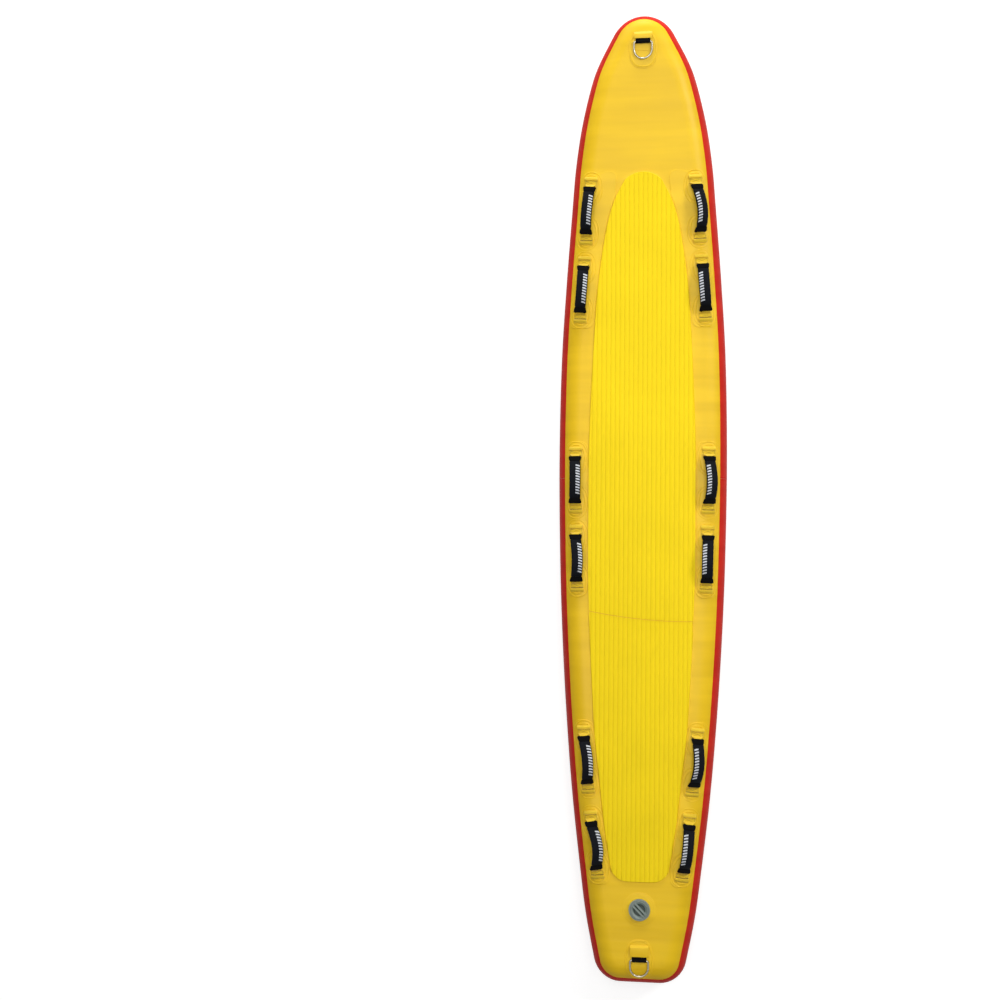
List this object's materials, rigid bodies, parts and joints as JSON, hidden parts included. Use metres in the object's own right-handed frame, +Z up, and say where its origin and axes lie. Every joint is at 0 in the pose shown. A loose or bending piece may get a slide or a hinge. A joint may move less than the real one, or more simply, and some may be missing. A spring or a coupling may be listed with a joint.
{
  "type": "lifeguard rescue board",
  "caption": "Long flat inflatable board with a round nose, square tail, grooved foam deck pad, webbing grab handles on both rails, tow rings, an air valve and a fin box.",
  "frame": {"origin": "middle of the board in plan, on the surface that the underside stands on", "axes": "+Y towards the nose, +X to starboard, +Z up through the deck"},
  "size_m": [0.562, 3.2, 0.2997],
  "materials": {
    "drop_stitch": "matte",
    "deck_pvc": "satin",
    "pvc_patch": "satin",
    "rail_pvc": "satin",
    "eva_foam": "matte",
    "webbing": "matte",
    "black_webbing": "matte",
    "neoprene": "matte",
    "stainless": "polished",
    "grey_plastic": "satin",
    "black_plastic": "satin",
    "seal_rubber": "matte"
  },
  "bodies": {
    "board": {"drop_stitch_core": "drop_stitch", "deck_skin": "deck_pvc", "bottom_skin": "deck_pvc", "rail_band_bow": "rail_pvc", "rail_band_stern": "rail_pvc", "deck_pad_fore": "eva_foam", "deck_pad_aft": "eva_foam", "handle_strap_starboard_1": "webbing", "handle_strap_starboard_2": "webbing", "handle_panel_starboard_bow": "pvc_patch", "handle_strap_starboard_3": "webbing", "handle_strap_starboard_4": "webbing", "handle_panel_starboard_mid": "pvc_patch", "handle_strap_starboard_5": "webbing", "handle_strap_starboard_6": "webbing", "handle_panel_starboard_stern": "pvc_patch", "handle_strap_port_1": "webbing", "handle_strap_port_2": "webbing", "handle_panel_port_bow": "pvc_patch", "handle_strap_port_3": "webbing", "handle_strap_port_4": "webbing", "handle_panel_port_mid": "pvc_patch", "handle_strap_port_5": "webbing", "handle_strap_port_6": "webbing", "handle_panel_port_stern": "pvc_patch", "nose_ring_patch": "pvc_patch", "nose_ring_webbing": "black_webbing", "nose_ring_cover": "pvc_patch", "tail_ring_patch": "pvc_patch", "tail_ring_webbing": "black_webbing", "tail_ring_cover": "pvc_patch", "valve_patch": "pvc_patch", "valve_flange_seal": "seal_rubber", "valve_body": "grey_plastic", "valve_back_nut": "grey_plastic", "valve_spring": "stainless", "valve_cap_tether": "grey_plastic", "fin_box": "black_plastic", "fin_box_patch": "pvc_patch"},
    "handle_starboard_1": {"grip_starboard_1": "neoprene"},
    "handle_starboard_2": {"grip_starboard_2": "neoprene"},
    "handle_starboard_3": {"grip_starboard_3": "neoprene"},
    "handle_starboard_4": {"grip_starboard_4": "neoprene"},
    "handle_starboard_5": {"grip_starboard_5": "neoprene"},
    "handle_starboard_6": {"grip_starboard_6": "neoprene"},
    "handle_port_1": {"grip_port_1": "neoprene"},
    "handle_port_2": {"grip_port_2": "neoprene"},
    "handle_port_3": {"grip_port_3": "neoprene"},
    "handle_port_4": {"grip_port_4": "neoprene"},
    "handle_port_5": {"grip_port_5": "neoprene"},
    "handle_port_6": {"grip_port_6": "neoprene"},
    "nose_ring": {"nose_ring": "stainless"},
    "tail_ring": {"tail_ring": "stainless"},
    "valve_cap_seal": {"valve_cap_seal": "seal_rubber"},
    "valve_cap": {"valve_cap": "grey_plastic"},
    "valve_stem": {"valve_stem": "grey_plastic", "valve_diaphragm": "seal_rubber"}
  },
  "joints": [
    {"name": "handle_starboard_1_lean", "type": "hinge", "parent": "board", "child": "handle_starboard_1", "pos_m": [0.18299, 0.95911, 0.21619], "axis": [-0.0846, 0.9912, 0.1022], "range_deg": [-45, 19], "stiffness_Nm_per_rad": 0.15, "deforming": ["handle_strap_starboard_1"]},
    {"name": "handle_starboard_2_lean", "type": "hinge", "parent": "board", "child": "handle_starboard_2", "pos_m": [0.20316, 0.69881, 0.19378], "axis": [-0.0699, 0.996, 0.0555], "range_deg": [-27, 37], "stiffness_Nm_per_rad": 0.15, "deforming": ["handle_strap_starboard_2"]},
    {"name": "handle_starboard_3_lean", "type": "hinge", "parent": "board", "child": "handle_starboard_3", "pos_m": [0.22124, 0.06048, 0.18264], "axis": [0.0077, 1, -0.0002], "range_deg": [-40, 24], "stiffness_Nm_per_rad": 0.15, "deforming": ["handle_strap_starboard_3"]},
    {"name": "handle_starboard_4_lean", "type": "hinge", "parent": "board", "child": "handle_starboard_4", "pos_m": [0.21663, -0.20059, 0.18264], "axis": [0.0277, 0.9996, 0.0007], "range_deg": [-26, 38], "stiffness_Nm_per_rad": 0.15, "deforming": ["handle_strap_starboard_4"]},
    {"name": "handle_starboard_5_lean", "type": "hinge", "parent": "board", "child": "handle_starboard_5", "pos_m": [0.17991, -0.86524, 0.18265], "axis": [0.0837, 0.9965, 0.0011], "range_deg": [-43, 21], "stiffness_Nm_per_rad": 0.15, "deforming": ["handle_strap_starboard_5"]},
    {"name": "handle_starboard_6_lean", "type": "hinge", "parent": "board", "child": "handle_starboard_6", "pos_m": [0.15137, -1.14332, 0.18266], "axis": [0.1168, 0.9932, 0.0008], "range_deg": [-33, 31], "stiffness_Nm_per_rad": 0.15, "deforming": ["handle_strap_starboard_6"]},
    {"name": "handle_port_1_lean", "type": "hinge", "parent": "board", "child": "handle_port_1", "pos_m": [-0.18299, 0.95911, 0.21619], "axis": [0.0846, 0.9912, 0.1022], "range_deg": [-35, 29], "stiffness_Nm_per_rad": 0.15, "deforming": ["handle_strap_port_1"]},
    {"name": "handle_port_2_lean", "type": "hinge", "parent": "board", "child": "handle_port_2", "pos_m": [-0.20316, 0.69881, 0.19378], "axis": [0.0699, 0.996, 0.0555], "range_deg": [-41, 23], "stiffness_Nm_per_rad": 0.15, "deforming": ["handle_strap_port_2"]},
    {"name": "handle_port_3_lean", "type": "hinge", "parent": "board", "child": "handle_port_3", "pos_m": [-0.22124, 0.06048, 0.18264], "axis": [-0.0077, 1, -0.0002], "range_deg": [-41, 23], "stiffness_Nm_per_rad": 0.15, "deforming": ["handle_strap_port_3"]},
    {"name": "handle_port_4_lean", "type": "hinge", "parent": "board", "child": "handle_port_4", "pos_m": [-0.21663, -0.20059, 0.18264], "axis": [-0.0277, 0.9996, 0.0007], "range_deg": [-48, 16], "stiffness_Nm_per_rad": 0.15, "deforming": ["handle_strap_port_4"]},
    {"name": "handle_port_5_lean", "type": "hinge", "parent": "board", "child": "handle_port_5", "pos_m": [-0.17991, -0.86524, 0.18265], "axis": [-0.0837, 0.9965, 0.0011], "range_deg": [-51, 13], "stiffness_Nm_per_rad": 0.15, "deforming": ["handle_strap_port_5"]},
    {"name": "handle_port_6_lean", "type": "hinge", "parent": "board", "child": "handle_port_6", "pos_m": [-0.15137, -1.14332, 0.18266], "axis": [-0.1168, 0.9932, 0.0008], "range_deg": [-60, 4], "stiffness_Nm_per_rad": 0.15, "deforming": ["handle_strap_port_6"]},
    {"name": "nose_ring_swing", "type": "hinge", "parent": "board", "child": "nose_ring", "pos_m": [0, 1.49742, 0.29397], "axis": [-1, 0, 0], "range_deg": [0, 150]},
    {"name": "tail_ring_swing", "type": "hinge", "parent": "board", "child": "tail_ring", "pos_m": [0, -1.511, 0.1758], "axis": [-1, 0, 0], "range_deg": [0, 150]},
    {"name": "valve_cap_lift", "type": "slide", "parent": "board", "child": "valve_cap_seal", "axis": [0, 0, 1], "range_m": [0, 0.03], "deforming": ["valve_cap_tether"]},
    {"name": "valve_cap_turn", "type": "hinge", "parent": "valve_cap_seal", "child": "valve_cap", "pos_m": [0, -1.348, 0.1763], "axis": [0, 0, 1], "range_deg": [0, 90]},
    {"name": "valve_stem_press", "type": "slide", "parent": "board", "child": "valve_stem", "axis": [0, 0, -1], "range_m": [0, 0.005], "stiffness_N_per_m": 300, "springref_m": -0.003, "deforming": ["valve_spring"]}
  ]
}
